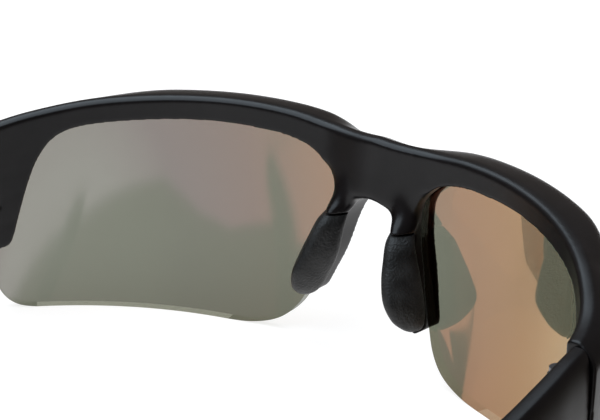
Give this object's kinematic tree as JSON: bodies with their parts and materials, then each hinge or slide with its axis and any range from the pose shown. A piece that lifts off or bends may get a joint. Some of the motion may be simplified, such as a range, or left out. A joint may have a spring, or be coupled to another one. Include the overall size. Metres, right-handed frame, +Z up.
{
  "type": "wraparound sport sunglasses",
  "caption": "Half-rim wraparound sport sunglasses with tinted curved lenses, rubber nose pads and folding temples with rubber ear socks.",
  "frame": {"origin": "on the surface the open glasses stand on, in the middle of their plan box", "axes": "front faces -Y, temples run back along +Y, +X is the wearer's left, +Z up"},
  "size_m": [0.143, 0.1582, 0.0404],
  "materials": {
    "frame_nylon": "satin moulded",
    "tinted_lens": "polished, grey-green tint with a warm mirror coat",
    "pad_rubber": "fine moulded texture",
    "sock_rubber": "matt",
    "hinge_steel": "satin",
    "core_steel": "drawn wire"
  },
  "bodies": {
    "front": {"front_frame": "frame_nylon", "left_lens": "tinted_lens", "left_nose_pad": "pad_rubber", "left_front_hinge_leaf": "hinge_steel", "left_hinge_screw": "hinge_steel", "left_front_leaf_screw_1": "hinge_steel", "left_front_leaf_screw_2": "hinge_steel", "right_lens": "tinted_lens", "right_nose_pad": "pad_rubber", "right_front_hinge_leaf": "hinge_steel", "right_hinge_screw": "hinge_steel", "right_front_leaf_screw_1": "hinge_steel", "right_front_leaf_screw_2": "hinge_steel"},
    "left_temple_body": {"left_temple": "frame_nylon", "left_ear_sock": "sock_rubber", "left_core_wire": "core_steel", "left_temple_hinge_leaf": "hinge_steel", "left_temple_leaf_screw_1": "hinge_steel", "left_temple_leaf_screw_2": "hinge_steel"},
    "right_temple_body": {"right_temple": "frame_nylon", "right_ear_sock": "sock_rubber", "right_core_wire": "core_steel", "right_temple_hinge_leaf": "hinge_steel", "right_temple_leaf_screw_1": "hinge_steel", "right_temple_leaf_screw_2": "hinge_steel"}
  },
  "joints": [
    {"name": "left_temple_fold", "type": "hinge", "parent": "front", "child": "left_temple_body", "pos_m": [0.0629, -0.03682, 0.0242], "axis": [0, 0, 1], "range_deg": [0, 90]},
    {"name": "right_temple_fold", "type": "hinge", "parent": "front", "child": "right_temple_body", "pos_m": [-0.0629, -0.03682, 0.0242], "axis": [0, 0, -1], "range_deg": [0, 84]}
  ]
}
